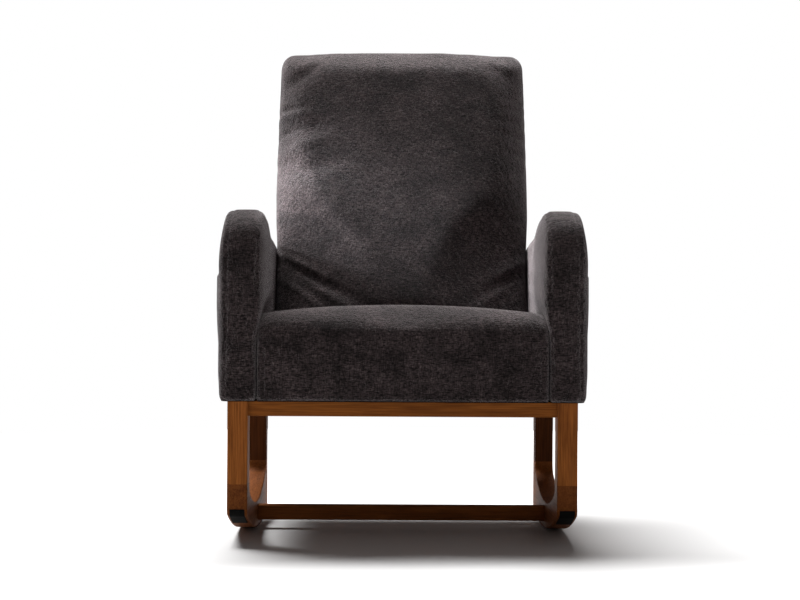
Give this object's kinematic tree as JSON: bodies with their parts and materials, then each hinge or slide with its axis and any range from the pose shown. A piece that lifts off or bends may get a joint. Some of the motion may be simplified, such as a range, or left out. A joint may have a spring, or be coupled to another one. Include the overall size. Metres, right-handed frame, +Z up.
{
  "type": "rocking chair",
  "caption": "High-back upholstered rocking armchair on a wooden rocker base, with square arms, a crowned seat, a reclined back and open side pockets.",
  "frame": {"origin": "on the floor plane, at the middle of the width and depth of the outer box, with the chair at its balanced rest tilt", "axes": "+X to the sitter's left, the picture's right; +Y to the rear; +Z up"},
  "size_m": [0.7184, 0.8075, 1.0187],
  "materials": {
    "walnut": "satin",
    "inner_wood": "matte",
    "stop_rubber": "matte",
    "upholstery": "matte",
    "foam": "matte",
    "black_cloth": "matte",
    "steel": "satin",
    "dark_screw": "satin"
  },
  "bodies": {
    "root": {"apron_dowels": "inner_wood", "arm_bolt_nuts": "steel", "arm_bolts": "steel", "back_bottom_rail": "inner_wood", "back_cover": "upholstery", "back_dust_cover": "black_cloth", "back_foam": "foam", "back_left_post": "inner_wood", "back_middle_rail": "inner_wood", "back_outer_panel": "upholstery", "back_right_post": "inner_wood", "back_top_rail": "inner_wood", "back_webbing_straps": "black_cloth", "body_bolt_washers": "steel", "body_bolts": "steel", "front_apron": "walnut", "front_rocker_stops": "stop_rubber", "left_arm_cover": "upholstery", "left_arm_dust_cover": "black_cloth", "left_arm_foam": "foam", "left_arm_panel": "inner_wood", "left_arm_sill": "inner_wood", "left_front_leg": "walnut", "left_rear_leg": "walnut", "left_rocker": "walnut", "left_side_apron": "walnut", "left_side_pocket": "upholstery", "leg_dowels": "inner_wood", "lower_stretcher": "walnut", "rear_apron": "walnut", "rear_rocker_stops": "stop_rubber", "right_arm_cover": "upholstery", "right_arm_dust_cover": "black_cloth", "right_arm_foam": "foam", "right_arm_panel": "inner_wood", "right_arm_sill": "inner_wood", "right_front_leg": "walnut", "right_rear_leg": "walnut", "right_rocker": "walnut", "right_side_apron": "walnut", "right_side_pocket": "upholstery", "seat_corner_blocks": "inner_wood", "seat_cover": "upholstery", "seat_dust_cover": "black_cloth", "seat_foam": "foam", "seat_front_rail": "inner_wood", "seat_left_rail": "inner_wood", "seat_rear_rail": "inner_wood", "seat_right_rail": "inner_wood", "seat_springs": "steel", "spring_clips": "steel", "stretcher_screws": "dark_screw", "tee_nuts": "steel"}
  },
  "joints": []
}
